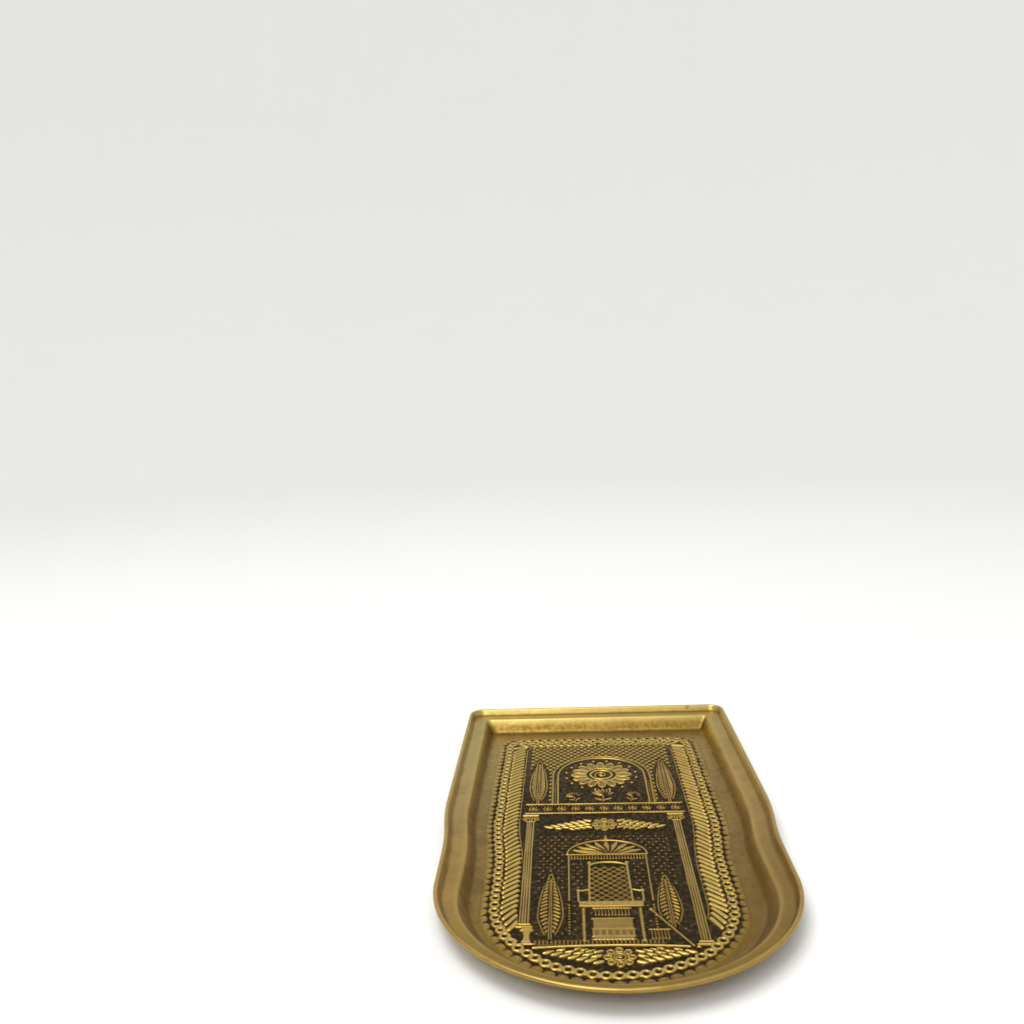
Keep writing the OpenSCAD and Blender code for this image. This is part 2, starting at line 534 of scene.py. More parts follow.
def vase(r, x, foot, height, width):
    """A turned pedestal."""
    half = np.array([(0.50, 0.0), (0.50, 0.10), (0.34, 0.13), (0.22, 0.34), (0.20, 0.55), (0.26, 0.72),
                     (0.44, 0.80), (0.44, 0.88), (0.34, 0.90), (0.36, 1.0)])
    outline = np.vstack([half, half[::-1] * [-1, 1]])
    r.field([x, foot] + outline * [width, height], 1.25, 1.0)
    for t in (0.12, 0.79, 0.90):
        r.groove(level(x - width / 2, x + width / 2, foot + height * t), 0.8, 0.7)


def column(r, x, foot, head, width):
    """A fluted column: stepped base, shaft, and a capital of two volutes under a block."""
    half = width / 2
    for k, (wide, tall) in enumerate([(1.75, 2.4), (1.4, 2.2)]):
        low = foot + 3.0 * k
        r.field(box(x - half * wide, low, x + half * wide, low + tall), 1.3, 0.6)
    low, high = foot + 6.4, head - 13
    for k in (-0.75, -0.25, 0.25, 0.75):
        r.stroke([(x + k * half, low), (x + k * half * 0.85, high)], half * 0.42, 1.4, 0.3)
    r.stroke(level(x - half, x + half, high + 0.8), 1.6, 1.4)
    for side in (-1, 1):
        volute = spiral(2.9, 0.812, 2.6 * math.pi, 21) * [-side, 1]
        r.stroke([x + side * half * 1.15, high + 5.2] + volute, 1.3, 1.35)
        r.stroke([(x + side * 0.8, high + 1.5), (x + side * 0.8, high + 8.5)], 1.3, 1.2)
    r.field(box(x - half * 1.9, head - 3.2, x + half * 1.9, head - 0.4), 1.35, 0.6)


def flame(t):
    """The half width of a cypress, as a share of its greatest, at a share t of its height."""
    return np.where(t < 0.3, np.sqrt(np.clip(t, 0, 1) / 0.3), np.cos((t - 0.3) / 0.7 * math.pi / 2) ** 0.8)


def cypress(r, x, foot, height, width):
    """A tall tree: a double stem with slanting leaves that fill a flame-shaped outline."""
    t = np.linspace(0.05, 0.98, 24)
    reach, rise = width / 2 * flame(t), foot + height * t
    outline = np.vstack([np.stack([x - reach, rise], 1), np.stack([x + reach, rise], 1)[::-1]])
    r.clear(outline, 0.3)
    r.stroke(outline, 1.2, 1.2, 0.6)
    leaf_pitch = 4.3
    count = int(height * 0.9 / leaf_pitch)
    for k in reversed(range(count)):
        share = 0.07 + 0.86 * k / count
        end = width / 2 * float(flame(share)) - 1.1
        if end < 1.6:
            continue
        y = foot + height * share
        for side in (-1, 1):
            r.leaf((x + side * 1.2, y + 4.2), (x + side * end, y + 0.4), 3.0, 1.3, 0.2, 0.45)
    for side in (-1, 1):
        r.stroke([(x + side * 0.75, foot - 1.5), (x + side * 0.5, foot + height * 0.9)], 0.9, 1.45, 0.3)


def brick_line(r, x0, x1, y, size):
    """A row of small upright blocks between two thin lines."""
    count = round((x1 - x0) / size)
    for x in middles(x0, x1, count):
        r.stroke([(x, y - size * 0.45), (x, y + size * 0.45)], (x1 - x0) / count * 0.68, 1.05)
    for edge in (-1, 1):
        r.stroke(level(x0, x1, y + edge * size * 0.95), 0.8, 0.9)


def beads(r, points, pitch, size, height=1.1):
    for p, _, _ in evenly_spaced(np.array(points, float), pitch, closed=False):
        r.dome(p, (size / 2, size / 2), height)


def bare_ground_dots(r, low, high, pitch):
    """Small punched dots in a staggered pattern, wherever there is room between the motifs."""
    for row in range(int((high[1] - low[1]) / (pitch * 0.87))):
        for place in range(int((high[0] - low[0]) / pitch)):
            centre = np.array([low[0] + pitch * (place + 0.5 * (row % 2)), low[1] + pitch * 0.87 * row])
            at, _, _ = r.window([centre], 1.9)
            if r.h[at].max() < 0.1:
                r.dome(centre, (1.1, 1.1), 0.95)


def scales(r, low, high, size):
    """Overlapping round scales, row in front of row, in a rectangle."""
    rise = size * 0.62
    rows = int((high[1] - low[1]) / rise)
    columns = int((high[0] - low[0]) / size)
    for row in reversed(range(rows)):
        odd = row % 2
        for place in range(columns - odd):
            centre = (low[0] + size * (place + 0.5 + 0.5 * odd), low[1] + rise * (row + 0.5))
            r.dome(centre, (size * 0.42, size * 0.42), 1.15, gap=size * 0.09)


def footstool(r, x0, x1, y0, y1):
    """A low stool: rails, posts and sunk panels."""
    r.field(box(x0, y0, x1, y1), 0.9, 0.6)
    shelf = y0 + 12.5
    for y in (y0 + 1, y0 + 4.2, shelf, y1 - 1):
        r.stroke(level(x0 - 0.8, x1 + 0.8, y), 1.3, 1.4)
    panels = 6
    for x in np.linspace(x0, x1, panels + 1):
        r.stroke([(x, y0 + 4), (x, shelf)], 1.2, 1.3)
    for x in middles(x0, x1, panels):
        r.dome((x, y0 + 8.3), (1.0, 2.8), -0.8)
        r.dome((x, y0 + 8.3), (0.7, 1.6), 1.0)
    beads(r, level(x0, x1, (shelf + y1 - 1) / 2), 2.9, 2.0, 1.3)


def turned_leg(r, x, foot, head):
    """A chair leg of stacked beads and discs."""
    shapes = itertools.cycle([(3.4, 1.6), (2.2, 3.6), (3.0, 1.4), (2.6, 2.8)])
    y = foot
    while y < head - 2:
        wide, tall = next(shapes)
        r.dome((x, y + tall / 2), (wide / 2 + 0.3, tall / 2 + 0.3), 1.4)
        y += tall


def fringe(r, x0, x1, y, length):
    """Hanging threads under a hem, each with a knot."""
    for x in middles(x0, x1, round((x1 - x0) / 2.1)):
        r.stroke([(x, y), (x, y - length)], 1.1, 1.0)
        r.dome((x, y - length), (0.95, 1.2), 1.25)
    r.stroke(level(x0 - 0.6, x1 + 0.6, y + 0.6), 1.5, 1.3)


def empty_throne(r):
    """A high-backed chair on turned legs with nobody in it, and its stool in front."""
    seat, arms, top = -108.0, -101.0, -56.0
    for x in (-19, 17):
        turned_leg(r, x, -147, seat)
    footstool(r, -13.5, 11.5, -146, -121)
    r.field(box(-22, seat, 20, arms), 1.1, 0.7)
    for k in range(9):
        r.dome((-19 + 4.5 * k, seat + 3.5), (1.7, 2.2), 1.5)
    fringe(r, -12.5, 10.5, seat - 2.5, 7)
    back = [(-15, arms), (13, arms), (12, top), (-14, top)]
    r.field(back, 0.25, 0.7)
    for x0, x1 in ((-15, -14), (13, 12)):
        r.stroke([(x0, arms), (x1, top + 2)], 2.0, 1.4)
        r.dome((x1, top + 5), (1.9, 2.6), 1.5)
    r.stroke([-1, top] + arc((0, 0), 13, math.pi, 0, 16) * [1, 0.45], 2.0, 1.45)
    lattice(r, back, 6.16)
    for side, x in ((-1, -22), (1, 20)):
        r.stroke([(x, arms), (x, arms + 12), (x - side * 6, arms + 14)], 2.2, 1.3)
        r.dome((x, arms + 13), (2.0, 2.0), 1.5)


def lattice(r, polygon, pitch):
    """Crossing slanted lines inside a polygon."""
    polygon = np.array(polygon, float)
    (low_x, low_y), (wide, tall) = polygon.min(axis=0), np.ptp(polygon, axis=0)
    steps = np.linspace(0, 1, 80)[:, None]
    for lean in (-1, 1):
        first = low_x - tall if lean > 0 else low_x
        for x in np.arange(first, first + wide + tall, pitch):
            line = [x, low_y] + steps * [lean * tall, tall]
            kept = line[Relief.inside(polygon, line[:, 0], line[:, 1])]
            if len(kept) > 1:
                r.stroke(kept[[0, -1]], 0.9, 1.15)


def canopy(r, x, y, width):
    """A ribbed round canopy with a finial and a fringe."""
    half, rise = width / 2, width / 2 * 0.72
    r.stroke([x, y] + arc((0, 0), 1, math.pi, 0, 28) * [half, rise], 1.8, 1.4)
    for rib in arc((0, 0), 1, 0, math.pi, 10)[1:-1] * [half, rise]:
        r.leaf([x, y] + rib * 0.1, [x, y] + rib * 0.93, 6.2, 1.3)
    fringe(r, x - half, x + half, y - 1.2, 5.5)
    r.dome((x, y + rise + 2.6), (1.8, 2.6), 1.5)
    r.dome((x, y + rise + 6.4), (1.1, 1.6), 1.4)


def terrace(r):
    """The lower picture: an empty throne under a canopy, between trees and columns."""
    vase(r, -54.3, -150.5, 19, 11)
    blade = [(-72.5, -129), (-69, -128), (-60.5, -147), (-62, -150)]
    r.field(blade, 1.2, 0.9)
    brick_line(r, -50, 29, -147.6, 2.5)
    cypress(r, -40, -143, 78, 16)
    cypress(r, 36, -132, 64, 15)
    staff = [(24, -113), (45.5, -152.5)]
    r.stroke(staff, 1.6, 1.7, 0.9)
    r.dome((23.5, -112), (1.8, 1.8), 1.6)
    fringe(r, 21, 33, -135, 9)
    column(r, 53.5, -152, 26, 7)
    column(r, -56.5, -132, 26, 7)
    empty_throne(r)
    canopy(r, -1, -38, 56)
    winged_flower(r, (-1.0, 8.0), 9.6, 1.6, -1)
    for x in (-28, 26):
        r.stroke([(x, -40), (x, -100)], 1.5, 1.3)
        beads(r, [(x, -104), (x, -140)], 3.4, 2.2)
    bare_ground_dots(r, (-48, -138), (47, -3), 5.2)


def frieze(r):
    """The band between the two pictures: small flowers between beaded lines."""
    y = 36.0
    for edge in (-1, 1):
        r.stroke(level(-61, 61, y + edge * 8), 1.6, 1.4)
        beads(r, level(-60, 60, y + edge * 5.9), 2.6, 1.8)
    for k in range(11):
        centre = (-55 + 11 * k, y)
        for petal in range(8):
            root, tip = placed([(0.9, 0), (4.1, 0)], centre, 45 * petal)
            r.leaf(root, tip, 2.2, 1.3, 0)
        r.dome(centre, (1.3, 1.3), 1.5)


def pavilion(r):
    """The upper picture: an arch with a large flower, between trees on a field of scales."""
    foot, top = 46.5, 166.0
    centre = (0.0, 100.0)

    def arch(half, steps=40):
        return np.vstack([[(-half, foot)], arc(centre, half, math.pi, 0, steps), [(half, foot)]])

    scales(r, (-61, foot), (61, top - 2), 6.1)
    inner, outer = arch(36), arch(40, 44)
    r.clear(arch(40.5), 0.6)
    r.stroke(inner, 2.0, 1.5)
    r.stroke(outer, 1.4, 1.2)
    inner = points_along(inner, np.linspace(0, run_lengths(inner)[-1], len(outer)))
    beads(r, (outer + inner) / 2, 3.0, 1.9)
    for side in (-1, 1):
        tree = 52.0 * side
        r.clear(placed([(-9, 0), (9, 0), (9, 60), (0, 92), (-9, 60)], (tree, foot)), 0.6)
        cypress(r, tree, foot + 1, 86, 14)
        lotus(r, (side * 22, foot + 5), 15, side * -14)
    rosette(r, centre, 25, 16, 1.6)
    for k in range(16):
        r.dome(placed([(29.5, 0)], centre, 22.5 * k + 11.25)[0], (1.7, 1.7), 1.4)
    lotus(r, (0, foot + 4), 22, 0)


def lotus(r, foot, height, turn):
    """A lotus in flower on a short stem."""
    r.stroke(placed([(0, -2), (0, height * 0.45)], foot, turn), 1.6, 1.3)
    flower = placed([(0, height * 0.42)], foot, turn)[0]
    for lean in (-62, -38, -18, 0, 18, 38, 62):
        reach = height * (0.58 - 0.12 * abs(lean) / 62)
        r.leaf(flower, placed([(0, reach)], flower, turn + lean)[0], height * 0.21, 1.4)
    for side in (-1, 1):
        root, tip = placed([(0, 0), (side * height * 0.34, height * 0.2)], foot, turn)
        r.leaf(root, tip, height * 0.16, 1.2)


def border_inset(r):
    """The distance in from the edge that the border rows follow, with their rounder rear corners."""
    x, y = r.xs[:, None], r.ys[None, :]
    return rounded_corner(PLAN.side_inset(x, y), PLAN.back_y - BACK_STRIP - y, BORDER_CORNER_R)


def draw_relief(r):
    """All of the embossing. The smooth strip outside the border rows comes first, above the dark ground."""
    outside = 1 - smoothstep(LUNETTES_IN - 0.6, LUNETTES_IN + 0.6, border_inset(r))
    r.h = (SMOOTH_Z - GROUND_Z) * outside
    for draw in (lunettes_and_rings, bars, inner_frame, front_panel, terrace, frieze, pavilion):
        draw(r)


def turned(values, xs, ys):
    """Values on the grid, turned as the embossing is and read again at the grid's nodes."""
    x = xs[:, None] - RELIEF_PIVOT[0]
    y = ys[None, :] - RELIEF_PIVOT[1]
    c, s = math.cos(RELIEF_TURN), math.sin(RELIEF_TURN)
    i = np.clip((RELIEF_PIVOT[0] + c * x - s * y - xs[0]) / GRID_STEP, 0, len(xs) - 1.001)
    j = np.clip((RELIEF_PIVOT[1] + s * x + c * y - ys[0]) / GRID_STEP, 0, len(ys) - 1.001)
    a, b = i.astype(int), j.astype(int)
    u, v = i - a, j - b
    near = values[a, b] * (1 - u) + values[a + 1, b] * u
    far = values[a, b + 1] * (1 - u) + values[a + 1, b + 1] * u
    return near * (1 - v) + far * v


def floor_relief(xs, ys):
    """Heights of the floor's top face and of its underside, how dark each place is, with patina and painted
    shade, and how pale, rubbed and partly a painted highlight.
    """
    r = Relief(xs - RELIEF_SHIFT[0], ys - RELIEF_SHIFT[1])
    draw_relief(r)
    h = blur(turned(r.h, xs, ys), 1)
    zone = turned(smoothstep(LUNETTES_IN - 0.2, LUNETTES_IN + 1.2, border_inset(r)), xs, ys)
    stipple = blur(np.random.default_rng(7).standard_normal(h.shape), 1)
    h = h + 0.05 * stipple * zone * (1 - smoothstep(0.2, 0.7, h))
    top = GROUND_Z + np.maximum(h, 0)
    blend = smoothstep(FLAT_IN, FLAT_IN + 2.5, PLAN.inset(xs[:, None], ys[None, :]))
    top = SHEET_T + (top - SHEET_T) * blend
    # patina on the ground, and in the hollows beside what stands high
    sunk = blur(highest_near(top, 1.4), 2) - top
    low = 1 - smoothstep(0.15, 0.75, h)
    dark = np.clip(low + 0.7 * smoothstep(0.3, 1.1, sunk), 0, 1) * zone
    # painted shade over the smooth part of the floor, on top of the patina
    dark = np.maximum(dark, SMOOTH_PAINTED_SHADE * (1 - smoothstep(0.5, 1.1, h)))
    # less darkening and less paleness towards the rear
    rear = smoothstep(20, 190, ys)[None, :]
    dark = dark * (1 - 0.22 * rear)
    # the relief's tops rubbed pale, which also paints a highlight on them
    wear_and_sheen = smoothstep(0.7, 1.5, h) * (1 - 0.7 * rear)
    under = np.maximum(np.minimum(blur(top, round(2 / GRID_STEP)) - RELIEF_SHEET_T, top - LEAST_SHEET_T), 0)
    return top, under * blend, dark, wear_and_sheen


# ---- Meshes ----

def join_to_outline(outline, xs, ys, cells):
    """Triangles between a closed outline and the stepped edge of a field of grid cells.

    A corner is an outline point, numbered from 0, or a grid node, numbered after them as i * len(ys) + j."""
    padded = np.pad(cells, 1)
    sides = [(padded[:-2, 1:-1], (0, 0), (0, 1)), (padded[2:, 1:-1], (1, 0), (1, 1)),
             (padded[1:-1, :-2], (0, 0), (1, 0)), (padded[1:-1, 2:], (0, 1), (1, 1))]
    edges = [(tuple(cell + start), tuple(cell + end))
             for beside, start, end in sides for cell in np.argwhere(cells & ~beside)]
    nodes = sorted({node for edge in edges for node in edge})
    count = len(outline)
    order = {node: count + k for k, node in enumerate(nodes)}
    points = [Vector(p) for p in outline] + [Vector((xs[i], ys[j])) for i, j in nodes]
    loops = [(k, (k + 1) % count) for k in range(count)] + [(order[a], order[b]) for a, b in edges]
    _, _, faces, origin, _, _ = delaunay_2d_cdt(points, loops, [], 0, 1e-7)
    numbers = [*range(count), *(count + i * len(ys) + j for i, j in nodes)]
    kept = []
    for face in faces:
        corners = [origin[v][0] for v in face]
        centre = sum((points[c] for c in corners), Vector((0, 0))) / 3
        i, j = np.searchsorted(xs, centre.x) - 1, np.searchsorted(ys, centre.y) - 1
        if not cells[i, j] and PLAN.inset(centre.x, centre.y) > FLAT_IN:
            kept.append([numbers[c] for c in corners])
    return np.array(kept)


class MeshParts:
    """Collects vertices with their attributes, and faces with their texture places."""

    def __init__(self):
        self.points, self.dark, self.wear_and_sheen = [], [], []
        self.faces, self.places = [], []
        self.count = 0

    def add_points(self, points, dark, wear_and_sheen):
        first = self.count
        self.points.append(np.asarray(points, float).reshape(-1, 3))
        self.dark.append(np.broadcast_to(dark, len(points)))
        self.wear_and_sheen.append(np.broadcast_to(wear_and_sheen, len(points)))
        self.count += len(points)
        return first

    def add_faces(self, faces, places):
        self.faces.append(np.asarray(faces, np.int64))
        self.places.append(np.asarray(places, float).reshape(-1, 2))

    def build(self, name):
        mesh = bpy.data.meshes.new(name)
        points = np.vstack(self.points) * MM
        corners = np.concatenate([f.ravel() for f in self.faces])
        sizes = np.concatenate([np.full(len(f), f.shape[1]) for f in self.faces])
        mesh.vertices.add(len(points))
        mesh.vertices.foreach_set("co", points.ravel())
        mesh.loops.add(len(corners))
        mesh.loops.foreach_set("vertex_index", corners)
        mesh.polygons.add(len(sizes))
        mesh.polygons.foreach_set("loop_start", np.concatenate([[0], np.cumsum(sizes)[:-1]]))
        mesh.polygons.foreach_set("use_smooth", np.ones(len(sizes), bool))
        mesh.update(calc_edges=True)
        for label, values in (("dark", self.dark), ("wear_and_sheen", self.wear_and_sheen)):
            layer = mesh.attributes.new(label, "FLOAT", "POINT")
            layer.data.foreach_set("value", np.concatenate(values))
        layer = mesh.uv_layers.new(name="OFBake")
        layer.data.foreach_set("uv", np.vstack(self.places).ravel())
        return mesh


def wander(count, seed, size):
    """A slow wave round the rim that closes on itself, as a hand-worked edge has."""
    rng = np.random.default_rng(seed)
    turn = np.linspace(0, 2 * math.pi, count, endpoint=False)
    wave = sum(rng.normal() / math.sqrt(n) * np.cos(n * turn + rng.uniform(0, 2 * math.pi))
               for n in range(2, 26))
    return size * wave / np.abs(wave).max()


class Layout:
    """Where each face lies in the texture: the top face and the underside, flattened, side by side."""

    margin = 2.0
    swell = 6.0         # room for the sides, which swell out beyond the rear width

    def __init__(self, reach):
        self.wide = REAR_W + self.swell + 2 * reach
        self.tall = TRAY_L + 2 * reach
        self.size = 2 * self.wide + 4 * self.margin

    def place(self, xy, under):
        xy = np.asarray(xy)
        mirror, right = (-1, self.wide + 2 * self.margin) if under else (1, 0)
        x = xy[..., 0] * mirror + self.wide / 2 + self.margin + right
        y = xy[..., 1] + self.tall / 2 + self.margin
        return np.stack([x, y], axis=-1) / self.size


def add_rim(parts, layout, top, under):
    """The swept part of the sheet. Returns the numbers of its first top ring and of its last ring."""
    section = np.vstack([top, under])
    around = len(PLAN.ring(0))
    move, swell = wander(around, 3, SIDEWAYS_STRAY), wander(around, 11, LEDGE_STRAY)
    first = parts.count
    for inset, z in section:
        give = smoothstep(2.2, 4.4, inset) * (1 - smoothstep(FOOT_IN, FLAT_IN - 0.4, inset))
        above_wall = 1 - smoothstep(LEDGE_IN, FOOT_IN, inset)
        plain, pushed = PLAN.ring(inset), PLAN.ring(inset + 1.0)
        narrower = FRONT_NARROWER * smoothstep(CREASE_IN, LEDGE_IN, inset) * above_wall
        narrower = narrower * (1 - smoothstep(-170, -60, plain[:, 1]))
        xy = plain + (pushed - plain) * (give * move - narrower)[:, None]
        parts.add_points(np.column_stack([xy, z + swell * give * above_wall]), *rim_tone(inset, z))
    outwards = FLAT_IN - run_lengths(top)
    outwards = [*outwards, outwards[-1] - SHEET_T]
    inwards = (FLAT_IN - run_lengths(under[::-1]))[::-1]
    k = np.arange(around)
    m = (k + 1) % around
    for i, (a, b) in enumerate([*zip(outwards, outwards[1:]), *zip(inwards, inwards[1:])]):
        near, far = first + i * around, first + (i + 1) * around
        a, b = PLAN.ring(a), PLAN.ring(b)
        places = layout.place(np.stack([a, b, b[m], a[m]], axis=1), i >= len(top))
        parts.add_faces(np.stack([near + k, far + k, far + m, near + m], axis=1), places)
    return first, first + (len(section) - 1) * around


def rim_tone(inset, z):
    """How dark and how pale the sheet is at a place in its section. The crease is dark with patina and
    painted shade, the wall is painted darker in shade down to its foot, and the lip and the ledge's inner
    edge are rubbed pale with a painted highlight.
    """
    def near(place, reach):
        return math.exp(-((inset - place) / reach) ** 2)

    # patina and painted shade in the crease between the lip and the ledge
    crease = near(CREASE_IN + 0.4, 1.2) * (z < LEDGE_Z + 2)
    # painted shade, darker down the wall and most of all at its foot
    low = smoothstep(LEDGE_IN, FOOT_IN - 3, inset) * (1 + 0.35 * near(FOOT_IN - 1.5, 2.5))
    # the lip's top and the ledge's inner edge: rubbed pale, and a painted highlight
    lip = smoothstep(LIP_TOP - 2.5, LIP_TOP, z)
    edge = near(LEDGE_IN - 0.6, 1.6) * (z > LEDGE_Z - 1)
    return max(0.3 * crease, SMOOTH_PAINTED_SHADE * low), max(lip * 0.6, edge * 0.4)


def add_floor(parts, layout, xs, ys, z, dark, wear_and_sheen, ring, under):
    """One face of the floor: a field of grid cells, joined to a ring of the rim that is there already."""
    outline = PLAN.ring(FLAT_IN)
    inside = PLAN.inset(xs[:, None], ys[None, :]) > FLAT_IN + 0.6 * (xs[1] - xs[0])
    cells = inside[:-1, :-1] & inside[1:, :-1] & inside[1:, 1:] & inside[:-1, 1:]
    joins = join_to_outline(outline, xs, ys, cells)
    i, j = np.nonzero(cells)
    rows = len(ys)
    quads = np.stack([i * rows + j, (i + 1) * rows + j, (i + 1) * rows + j + 1, i * rows + j + 1], axis=1)
    nodes = np.unique(quads)
    flat = np.stack(np.meshgrid(xs, ys, indexing="ij"), axis=-1).reshape(-1, 2)
    points = np.column_stack([flat[nodes], z.ravel()[nodes]])
    first = parts.add_points(points, dark.ravel()[nodes], wear_and_sheen.ravel()[nodes])
    number = np.full(len(flat), -1)
    number[nodes] = first + np.arange(len(nodes))
    count = len(outline)
    on_outline, node = joins < count, np.maximum(joins - count, 0)
    corner_xy = np.where(on_outline[..., None], outline[np.minimum(joins, count - 1)], flat[node])
    corner = np.where(on_outline, ring + joins, number[node])
    if under:
        quads, corner, corner_xy = quads[:, ::-1], corner[:, ::-1], corner_xy[:, ::-1]
    parts.add_faces(number[quads], layout.place(flat[quads], under))
    parts.add_faces(corner, layout.place(corner_xy, under))


def grid_line(half):
    """Evenly spaced places from one end to the other, each end a whole even number of millimetres."""
    end = math.ceil(half / 2) * 2
    return np.arange(-end, end + GRID_STEP / 2, GRID_STEP)


def embossed_pan():
    """The whole sheet. The grid under the floor is half as fine as the one on top."""
    top, under = rim_section()
    layout = Layout(run_lengths(top)[-1] + SHEET_T - FLAT_IN)
    parts = MeshParts()
    first, last = add_rim(parts, layout, top, under)
    xs, ys = grid_line(REAR_W / 2 + 2 - FLAT_IN), grid_line(TRAY_L / 2 - FLAT_IN)
    z, z_under, dark, wear_and_sheen = floor_relief(xs, ys)
    add_floor(parts, layout, xs, ys, z, dark, wear_and_sheen, first, False)
    z_under, dark, wear_and_sheen = z_under[::2, ::2], dark[::2, ::2] * 0.3, wear_and_sheen[::2, ::2] * 0
    add_floor(parts, layout, xs[::2], ys[::2], z_under, dark, wear_and_sheen, last, True)
    pan = bpy.data.objects.new("embossed_pan", parts.build("embossed_pan"))
    bpy.context.collection.objects.link(pan)
    return pan


# ---- Materials ----

class Nodes:
    """Short calls for building a material's nodes."""

    def __init__(self, name):
        self.material = bpy.data.materials.new(name)
        self.material.use_nodes = True
        self.tree = self.material.node_tree
        self.shader = self.tree.nodes["Principled BSDF"]

    def surface(self, inputs):
        """Sets the shader's own inputs, and gives the finished material."""
        for key, value in inputs.items():
            self.set(self.shader.inputs[key], value)
        return self.material

    def add(self, kind, inputs=None, **settings):
        node = self.tree.nodes.new(kind)
        for key, value in settings.items():
            setattr(node, key, value)
        for key, value in (inputs or {}).items():
            self.set(node.inputs[key], value)
        return node

    def set(self, socket, value):
        if isinstance(value, bpy.types.NodeSocket):
            self.tree.links.new(value, socket)
        else:
            socket.default_value = value

    def noise(self, place, scale, detail, rough, distort=0.0):
        inputs = {"Vector": place, "Scale": scale, "Detail": detail, "Roughness": rough,
                  "Distortion": distort}
        return self.add("ShaderNodeTexNoise", inputs).outputs["Fac"]

    def ramp(self, value, low, high, out_low=0.0, out_high=1.0):
        inputs = {"Value": value, "From Min": low, "From Max": high, "To Min": out_low, "To Max": out_high}
        return self.add("ShaderNodeMapRange", inputs, interpolation_type="SMOOTHSTEP").outputs["Result"]

    def maths(self, operation, a, b, clamp=False):
        return self.add("ShaderNodeMath", {0: a, 1: b}, operation=operation, use_clamp=clamp).outputs[0]

    def mix(self, share, a, b):
        """A mix of two colours. The numbers are the mix node's colour inputs and output."""
        return self.add("ShaderNodeMix", {0: share, 6: a, 7: b}, data_type="RGBA").outputs[2]

    def bump(self, height):
        inputs = {"Height": height, "Distance": 1.0, "Strength": 1.0}
        return self.add("ShaderNodeBump", inputs).outputs["Normal"]

    def attribute(self, name):
        return self.add("ShaderNodeAttribute", attribute_name=name).outputs["Fac"]

    def place(self, scale=(1, 1, 1)):
        coordinates = self.add("ShaderNodeTexCoord").outputs["Object"]
        return self.add("ShaderNodeMapping", {"Vector": coordinates, "Scale": scale}).outputs["Vector"]


BRASS = (0.38, 0.250, 0.048, 1)
BRASS_PINK = (0.40, 0.245, 0.072, 1)
BRASS_OLIVE = (0.27, 0.190, 0.026, 1)
BRASS_PALE = (0.58, 0.43, 0.125, 1)
BRASS_BROWN = (0.17, 0.095, 0.011, 1)
BRASS_PAINTED_LIGHT = (0.46, 0.370, 0.125, 1)
TARNISH = (0.13, 0.078, 0.012, 1)
PATINA = (0.018, 0.012, 0.004, 1)
FLECK_AT = (0.087, 0.2195, 0.0155)     # a tarnished fleck on the back lip


def brass_colour(n, place, patches, brushed, darkened):
    """The bare metal: clouds and stains, with painted light making it paler towards the rear left and painted
    shade making it browner towards the front right.
    """
    colour = n.mix(n.ramp(n.noise(place, 22, 4, 0.6, 0.3), 0.35, 0.65), BRASS, BRASS_PINK)
    colour = n.mix(n.ramp(patches, 0.48, 0.75, 0, 0.7), colour, BRASS_OLIVE)
    colour = n.mix(n.ramp(brushed, 0.4, 0.8, 0, 0.08), colour, BRASS_PALE)
    stains = n.ramp(n.noise(place, 26, 6, 0.6, 1.0), 0.46, 0.68, 0, 0.62)
    stains = n.maths("MULTIPLY", stains, n.ramp(darkened, 0.0, 0.2, 0.35, 1.0))
    colour = n.mix(stains, colour, TARNISH)
    spot = n.add("ShaderNodeSeparateXYZ", {"Vector": place}).outputs
    # painted light towards the rear left and painted shade towards the front right
    slant = n.maths("ADD", spot["Y"], n.maths("MULTIPLY", spot["X"], -0.6))
    colour = n.mix(n.ramp(slant, 0.0, 0.2, 0.0, 0.6), colour, BRASS_PAINTED_LIGHT)
    colour = n.mix(n.ramp(slant, -0.2, -0.03, 0.58, 0.0), colour, BRASS_BROWN)
    from_fleck = n.add("ShaderNodeVectorMath", {0: place, 1: FLECK_AT}, operation="DISTANCE").outputs["Value"]
    return n.mix(n.ramp(from_fleck, 0.8 * MM, 3.2 * MM, 0.75, 0.0), colour, TARNISH)


def brass_marks(n, place, brushed):
    """Heights of the soft dents, the brush marks and the grain."""
    dents = n.maths("MULTIPLY", n.noise(place, 60, 2, 0.5), 0.12 * MM)
    scratches = n.maths("MULTIPLY", brushed, 0.006 * MM)
    grain = n.maths("MULTIPLY", n.noise(place, 1400, 2, 0.6), 0.006 * MM)
    return n.maths("ADD", dents, n.maths("ADD", scratches, grain))


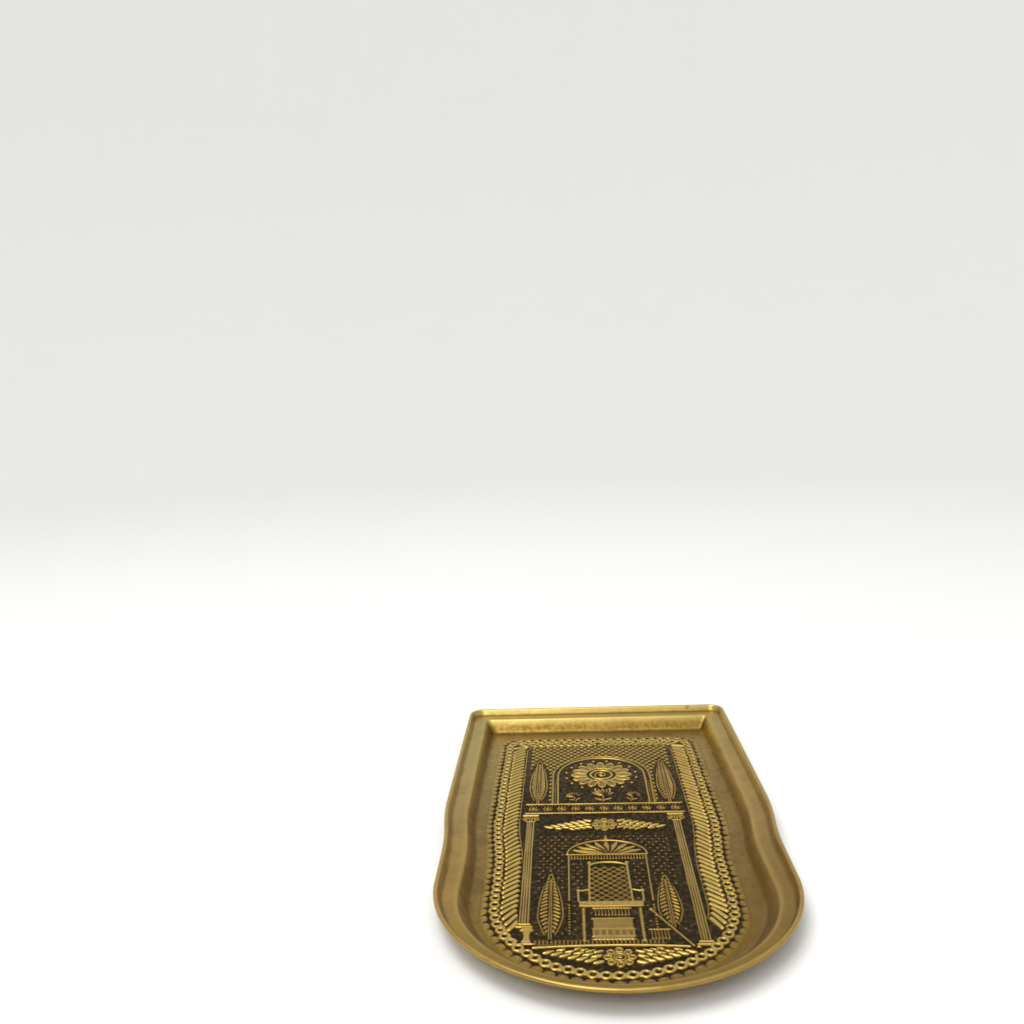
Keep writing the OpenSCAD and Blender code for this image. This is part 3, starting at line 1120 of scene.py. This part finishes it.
def antique_brass():
    """Brass that is rubbed pale on the tops of the relief, partly as a painted highlight, and under a dark
    patina on its ground, with painted shade on the smooth floor, the walls and the crease.
    """
    n = Nodes("antique_brass_visual")
    place = n.place()
    patches = n.noise(place, 55, 5, 0.65, 0.8)
    brushed = n.noise(n.place((1.0, 0.16, 1.0)), 900, 3, 0.6)
    darkened = n.attribute("dark")
    colour = brass_colour(n, place, patches, brushed, darkened)
    # pale tops and edges: rubbed brass, and a painted highlight
    rubbed_and_highlit = n.maths("MULTIPLY", n.attribute("wear_and_sheen"), n.ramp(patches, 0.25, 0.6, 0.4, 0.8))
    colour = n.mix(rubbed_and_highlit, colour, BRASS_PALE)
    broken = n.ramp(n.noise(place, 300, 4, 0.65), 0.3, 0.7, 0.72, 1.12)
    # the darkening carries the patina of the ground and the painted shade of the smooth floor, the walls and
    # the crease
    dark = n.maths("MULTIPLY", darkened, broken, clamp=True)
    colour = n.mix(n.ramp(dark, 0.0, 0.45), colour, BRASS_BROWN)
    rough = n.maths("ADD", n.ramp(patches, 0.3, 0.7, 0.30, 0.42), n.ramp(brushed, 0.3, 0.7, -0.015, 0.025))
    return n.surface({
        "Base Color": n.mix(n.ramp(dark, 0.3, 0.95), colour, PATINA),
        "Metallic": n.ramp(dark, 0.4, 1.0, 1.0, 0.0),
        "Specular IOR Level": n.ramp(dark, 0.4, 1.0, 0.5, 0.04),
        "Roughness": n.maths("ADD", rough, n.ramp(dark, 0.1, 0.9, 0.0, 0.25)),
        "Normal": n.bump(brass_marks(n, place, brushed))})


def drawn_wire():
    """Brass wire with the fine lines of the drawing plate."""
    n = Nodes("brass_wire_visual")
    clouds = n.noise(n.place(), 90, 4, 0.6, 0.4)
    lines = n.noise(n.place((1.0, 1.0, 6.0)), 1500, 2, 0.5)
    return n.surface({
        "Base Color": n.mix(n.ramp(clouds, 0.3, 0.7), BRASS, TARNISH),
        "Metallic": 1.0,
        "Roughness": n.ramp(lines, 0.3, 0.7, 0.36, 0.5),
        "Normal": n.bump(n.maths("MULTIPLY", lines, 0.01 * MM))})


def pale_floor():
    return Nodes("studio_floor").surface({"Base Color": (0.86, 0.86, 0.85, 1), "Roughness": 0.9})


# ---- Stage, light and camera ----

def studio_floor():
    """A wide floor that curves up into a wall all round, with no edge to be seen."""
    flat, bend, high, around = 2.4, 1.4, 3.2, 96
    turns = np.linspace(0, math.pi / 2, 13)
    profile = [(flat + bend * math.sin(t), bend * (1 - math.cos(t))) for t in turns] + [(flat + bend, high)]
    points = [(0, 0, 0)]
    for r, z in profile:
        points += [(x, y, z) for x, y in circle((0, 0), r, around)[:-1]]
    faces = [(0, 1 + k, 1 + (k + 1) % around) for k in range(around)]
    for ring in range(len(profile) - 1):
        a, b = 1 + ring * around, 1 + (ring + 1) * around
        faces += [(a + k, b + k, b + (k + 1) % around, a + (k + 1) % around) for k in range(around)]
    mesh = bpy.data.meshes.new("studio_floor")
    mesh.from_pydata(points, [], faces)
    mesh.shade_smooth()
    floor = bpy.data.objects.new("studio_floor", mesh)
    bpy.context.collection.objects.link(floor)
    floor.data.materials.append(pale_floor())


def soft_light(name, place, size, power):
    """A rectangular light that faces the middle of the tray."""
    light = bpy.data.lights.new(name, "AREA")
    light.shape = "RECTANGLE"
    light.size, light.size_y = size
    light.energy = power
    lamp = bpy.data.objects.new(name, light)
    lamp.location = place
    lamp.rotation_euler = (-Vector(place)).to_track_quat("-Z", "Y").to_euler()
    bpy.context.collection.objects.link(lamp)


def studio_light():
    world = bpy.data.worlds.new("studio")
    bpy.context.scene.world = world
    world.use_nodes = True
    background = world.node_tree.nodes["Background"]
    background.inputs["Color"].default_value = (1.0, 0.99, 0.97, 1)
    background.inputs["Strength"].default_value = 1.0
    soft_light("key", (-0.45, -0.45, 1.8), (1.2, 0.9), 16)
    soft_light("fill", (-0.5, -1.7, 1.55), (1.1, 0.6), 9)
    bpy.context.scene.view_settings.view_transform = "Standard"


# The camera: its lens and place, and how far it is tilted down, rolled and turned to the left
LENS = 35.446
SENSOR = 36.0
CAMERA_AT = (-27.1, -712.3, 344.1)
CAMERA_PITCH = math.radians(8.25)
CAMERA_ROLL = math.radians(-2.245)
CAMERA_YAW = math.radians(2.804)


def camera():
    data = bpy.data.cameras.new("camera")
    data.lens, data.sensor_width = LENS, SENSOR
    data.clip_start, data.clip_end = 0.01, 100
    cam = bpy.data.objects.new("camera", data)
    turn = Matrix.Rotation(CAMERA_YAW, 3, "Z") @ Matrix.Rotation(math.pi / 2 - CAMERA_PITCH, 3, "X")
    turn = turn @ Matrix.Rotation(CAMERA_ROLL, 3, "Z")
    cam.matrix_world = Matrix.Translation(Vector(CAMERA_AT) * MM) @ turn.to_4x4()
    bpy.context.collection.objects.link(cam)
    bpy.context.scene.camera = cam


camera()
studio_light()
studio_floor()
pan = embossed_pan()
pan.data.materials.append(antique_brass())
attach(pan, "root")
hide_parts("pan")
for wire_slot in bpy.data.objects["rim_wire"].material_slots:
    wire_slot.material = drawn_wire()
